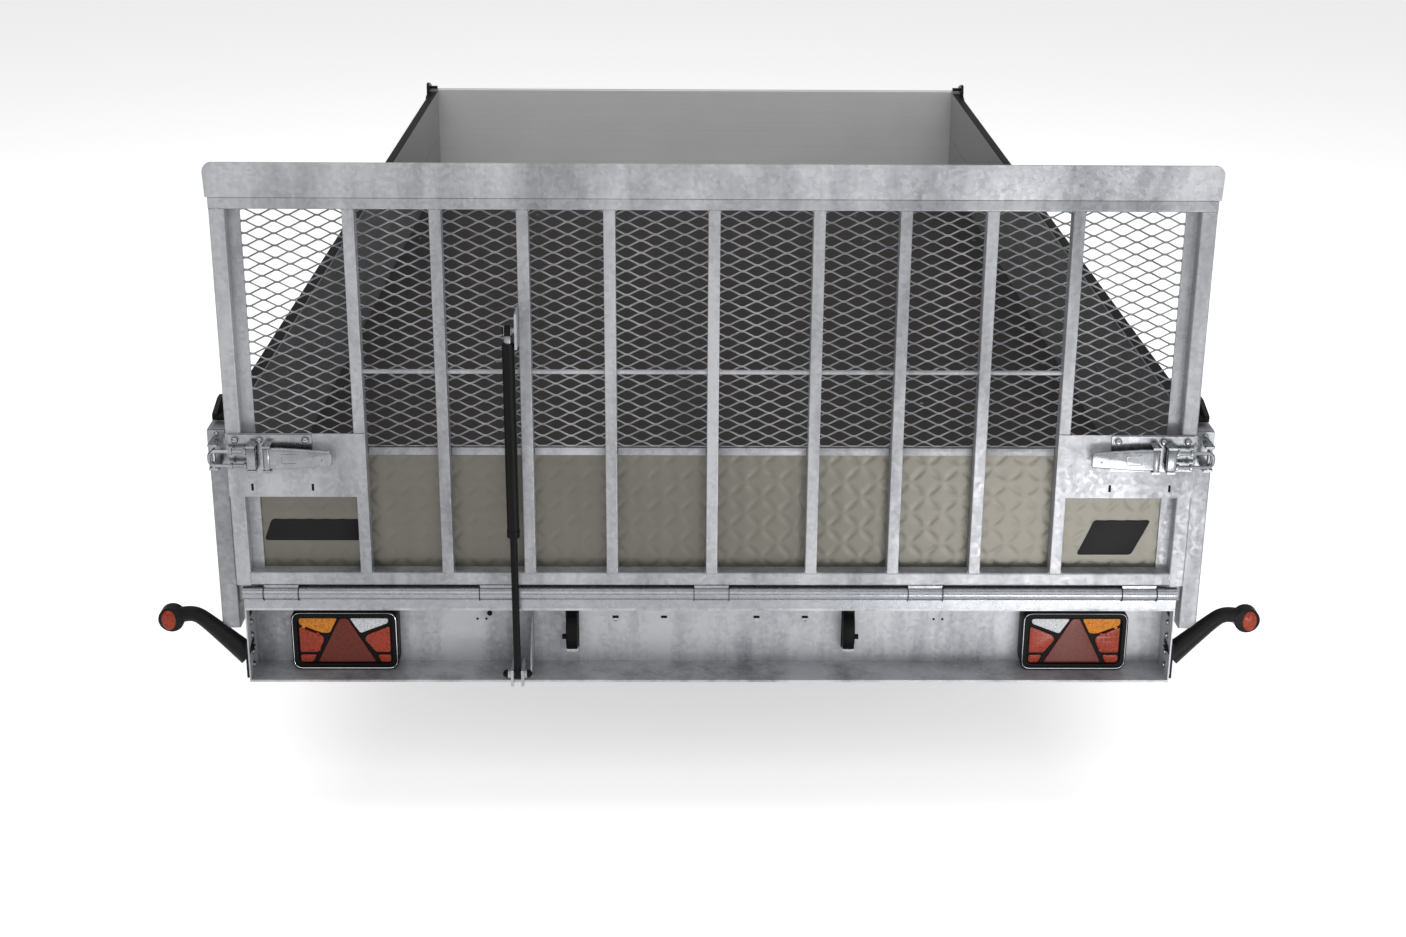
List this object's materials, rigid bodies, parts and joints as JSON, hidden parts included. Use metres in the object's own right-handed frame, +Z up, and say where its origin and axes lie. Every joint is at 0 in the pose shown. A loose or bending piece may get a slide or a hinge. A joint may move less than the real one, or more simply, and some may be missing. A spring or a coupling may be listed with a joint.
{
  "type": "livestock trailer",
  "caption": "Drop-side flatbed farm trailer with a full-width mesh loading ramp, spring-assisted and latched at the rear, on a braked tandem axle with a ball coupling and jockey wheel.",
  "frame": {"origin": "on the ground, under the middle of the whole trailer with its ramp closed", "axes": "+X to the right-hand side seen from behind, +Y towards the tow coupling, +Z up"},
  "size_m": [2.4518, 5.7981, 1.5382],
  "materials": {
    "galvanised_steel": "hot-dip galvanised, spangled",
    "bright_zinc": "bright zinc plated",
    "cast_zinc": "cast and zinc plated",
    "dark_steel": "oiled dark steel",
    "board_aluminium": "anodised",
    "chequer_aluminium": "mill finish tread plate",
    "phenolic_ply": "dark phenolic film",
    "black_plastic": "moulded",
    "red_lens": "clear moulded lens",
    "black_rubber": "moulded rubber",
    "tyre_rubber": "tread rubber",
    "black_steel": "black coated",
    "silver_paint": "silver painted"
  },
  "bodies": {
    "chassis": {"long_members": "galvanised_steel", "cross_members": "galvanised_steel", "rear_channel": "galvanised_steel", "floor_panel": "phenolic_ply", "corner_posts": "galvanised_steel", "front_board": "board_aluminium", "ramp_hinge_leaf": "galvanised_steel", "hinge_pin": "galvanised_steel", "latch_keepers": "bright_zinc", "strut_foot": "galvanised_steel", "lamp_housings": "black_plastic", "lamp_lenses": "red_lens", "marker_arms": "black_rubber", "axle_tubes": "galvanised_steel", "drawbar_arms": "galvanised_steel", "overrun_housing": "galvanised_steel", "jockey_clamp": "galvanised_steel"},
    "ramp": {"ramp_knuckles": "galvanised_steel", "ramp_uprights": "galvanised_steel", "ramp_cross_bars": "galvanised_steel", "ramp_lip": "galvanised_steel", "ramp_ribs": "galvanised_steel", "ramp_mesh": "galvanised_steel", "chequer_plate": "chequer_aluminium", "ramp_brackets": "galvanised_steel", "latch_bases": "bright_zinc"},
    "strut_rod": {"strut_rod": "black_steel"},
    "strut_cylinder": {"strut_cylinder": "black_steel"},
    "overrun": {"overrun_shaft": "dark_steel", "coupling_head": "cast_zinc", "gaiter": "black_rubber"},
    "coupling_handle": {"coupling_handle": "bright_zinc"},
    "handbrake_lever": {"handbrake_lever": "bright_zinc"},
    "jockey_outer": {"jockey_outer_tube": "galvanised_steel"},
    "jockey_crank": {"jockey_crank": "bright_zinc"},
    "jockey_fork": {"jockey_fork": "bright_zinc"},
    "jockey_wheel": {"jockey_wheel": "black_rubber"},
    "clamp_handle": {"clamp_handle": "bright_zinc"},
    "latch_handle_left": {"latch_handle_left": "bright_zinc"},
    "latch_claw_left": {"latch_claw_left": "bright_zinc"},
    "latch_handle_right": {"latch_handle_right": "bright_zinc"},
    "latch_claw_right": {"latch_claw_right": "bright_zinc"},
    "side_left": {"side_board_left": "board_aluminium"},
    "side_latch_rear_left": {"side_latch_rear_left": "black_steel"},
    "side_latch_front_left": {"side_latch_front_left": "black_steel"},
    "side_right": {"side_board_right": "board_aluminium"},
    "side_latch_rear_right": {"side_latch_rear_right": "black_steel"},
    "side_latch_front_right": {"side_latch_front_right": "black_steel"},
    "arm_front_left": {"arm_front_left": "galvanised_steel"},
    "wheel_front_left": {"tyre_front_left": "tyre_rubber", "rim_front_left": "silver_paint"},
    "arm_rear_left": {"arm_rear_left": "galvanised_steel"},
    "wheel_rear_left": {"tyre_rear_left": "tyre_rubber", "rim_rear_left": "silver_paint"},
    "arm_front_right": {"arm_front_right": "galvanised_steel"},
    "wheel_front_right": {"tyre_front_right": "tyre_rubber", "rim_front_right": "silver_paint"},
    "arm_rear_right": {"arm_rear_right": "galvanised_steel"},
    "wheel_rear_right": {"tyre_rear_right": "tyre_rubber", "rim_rear_right": "silver_paint"}
  },
  "joints": [
    {"name": "ramp_hinge", "type": "hinge", "parent": "chassis", "child": "ramp", "pos_m": [0, -2.83875, 0.577], "axis": [1, 0, 0], "range_deg": [0, 126]},
    {"name": "latch_handle_left", "type": "hinge", "parent": "ramp", "child": "latch_handle_left", "pos_m": [-0.952, -2.86975, 0.902], "axis": [0, 0, -1], "range_deg": [0, 110]},
    {"name": "latch_claw_left", "type": "hinge", "parent": "ramp", "child": "latch_claw_left", "pos_m": [-0.985, -2.86975, 0.902], "axis": [0, 0, 1], "range_deg": [0, 36]},
    {"name": "latch_handle_right", "type": "hinge", "parent": "ramp", "child": "latch_handle_right", "pos_m": [0.952, -2.86975, 0.902], "axis": [0, 0, 1], "range_deg": [0, 110]},
    {"name": "latch_claw_right", "type": "hinge", "parent": "ramp", "child": "latch_claw_right", "pos_m": [0.985, -2.86975, 0.902], "axis": [0, 0, -1], "range_deg": [0, 36]},
    {"name": "strut_swing", "type": "hinge", "parent": "chassis", "child": "strut_rod", "pos_m": [-0.43, -2.86275, 0.392], "axis": [1, 0, 0], "range_deg": [0, 114.54]},
    {"name": "strut_stroke", "type": "slide", "parent": "strut_rod", "child": "strut_cylinder", "axis": [0, 0.0287, -0.9996], "range_m": [0, 0.3065]},
    {"name": "side_left", "type": "hinge", "parent": "chassis", "child": "side_left", "pos_m": [-1.08, -0.68175, 0.606], "axis": [0, -1, 0], "range_deg": [0, 180]},
    {"name": "side_latch_rear_left", "type": "hinge", "parent": "side_left", "child": "side_latch_rear_left", "pos_m": [-1.077, -2.69375, 0.93], "axis": [-1, 0, 0], "range_deg": [0, 80]},
    {"name": "side_latch_front_left", "type": "hinge", "parent": "side_left", "child": "side_latch_front_left", "pos_m": [-1.077, 1.33025, 0.93], "axis": [1, 0, 0], "range_deg": [0, 80]},
    {"name": "side_right", "type": "hinge", "parent": "chassis", "child": "side_right", "pos_m": [1.08, -0.68175, 0.606], "axis": [0, 1, 0], "range_deg": [0, 180]},
    {"name": "side_latch_rear_right", "type": "hinge", "parent": "side_right", "child": "side_latch_rear_right", "pos_m": [1.077, -2.69375, 0.93], "axis": [-1, 0, 0], "range_deg": [0, 80]},
    {"name": "side_latch_front_right", "type": "hinge", "parent": "side_right", "child": "side_latch_front_right", "pos_m": [1.077, 1.33025, 0.93], "axis": [1, 0, 0], "range_deg": [0, 80]},
    {"name": "arm_front_left", "type": "hinge", "parent": "chassis", "child": "arm_front_left", "pos_m": [-0.704, -0.35688, 0.304], "axis": [-1, 0, 0], "range_deg": [-8, 12], "stiffness_Nm_per_rad": 6000, "springref_deg": -2.01},
    {"name": "wheel_front_left", "type": "hinge", "parent": "arm_front_left", "child": "wheel_front_left", "pos_m": [-0.905, -0.50075, 0.234], "axis": [1, 0, 0], "continuous": true},
    {"name": "arm_rear_left", "type": "hinge", "parent": "chassis", "child": "arm_rear_left", "pos_m": [-0.704, -1.00688, 0.304], "axis": [-1, 0, 0], "range_deg": [-8, 12], "stiffness_Nm_per_rad": 6000, "springref_deg": -2.01},
    {"name": "wheel_rear_left", "type": "hinge", "parent": "arm_rear_left", "child": "wheel_rear_left", "pos_m": [-0.905, -1.15075, 0.234], "axis": [1, 0, 0], "continuous": true},
    {"name": "arm_front_right", "type": "hinge", "parent": "chassis", "child": "arm_front_right", "pos_m": [0.704, -0.35688, 0.304], "axis": [-1, 0, 0], "range_deg": [-8, 12], "stiffness_Nm_per_rad": 6000, "springref_deg": -2.01},
    {"name": "wheel_front_right", "type": "hinge", "parent": "arm_front_right", "child": "wheel_front_right", "pos_m": [0.905, -0.50075, 0.234], "axis": [1, 0, 0], "continuous": true},
    {"name": "arm_rear_right", "type": "hinge", "parent": "chassis", "child": "arm_rear_right", "pos_m": [0.704, -1.00688, 0.304], "axis": [-1, 0, 0], "range_deg": [-8, 12], "stiffness_Nm_per_rad": 6000, "springref_deg": -2.01},
    {"name": "wheel_rear_right", "type": "hinge", "parent": "arm_rear_right", "child": "wheel_rear_right", "pos_m": [0.905, -1.15075, 0.234], "axis": [1, 0, 0], "continuous": true},
    {"name": "overrun_slide", "type": "slide", "parent": "chassis", "child": "overrun", "axis": [0, -1, 0], "range_m": [0, 0.09], "stiffness_N_per_m": 4000},
    {"name": "coupling_handle", "type": "hinge", "parent": "overrun", "child": "coupling_handle", "pos_m": [0, 2.80425, 0.509], "axis": [-1, 0, 0], "range_deg": [0, 45], "stiffness_Nm_per_rad": 1},
    {"name": "handbrake_lever", "type": "hinge", "parent": "chassis", "child": "handbrake_lever", "pos_m": [0.06, 2.47925, 0.475], "axis": [1, 0, 0], "range_deg": [0, 62]},
    {"name": "jockey_lift", "type": "slide", "parent": "chassis", "child": "jockey_outer", "axis": [0, 0, 1], "range_m": [0, 0.1]},
    {"name": "jockey_crank", "type": "hinge", "parent": "jockey_outer", "child": "jockey_crank", "pos_m": [-0.21958, 2.13925, 0.77], "axis": [0, 0, 1], "range_deg": [0, 6000]},
    {"name": "jockey_screw", "type": "slide", "parent": "jockey_outer", "child": "jockey_fork", "axis": [0, 0, 1], "range_m": [0, 0.1005]},
    {"name": "jockey_wheel", "type": "hinge", "parent": "jockey_fork", "child": "jockey_wheel", "pos_m": [-0.21958, 2.10925, 0.1], "axis": [1, 0, 0], "continuous": true},
    {"name": "clamp_handle", "type": "hinge", "parent": "chassis", "child": "clamp_handle", "pos_m": [-0.27958, 2.13925, 0.481], "axis": [-1, 0, 0], "range_deg": [0, 360]}
  ],
  "couplings": [
    {"joint": "latch_claw_left", "follows": "latch_handle_left", "ratio": 0.31818},
    {"joint": "latch_claw_right", "follows": "latch_handle_right", "ratio": 0.31818},
    {"joint": "strut_swing", "follows": "ramp_hinge", "ratio": 0.90511},
    {"joint": "strut_stroke", "follows": "ramp_hinge", "m_per_rad": 0.13892},
    {"joint": "jockey_screw", "follows": "jockey_crank", "m_per_rad": 0.00095493}
  ]
}
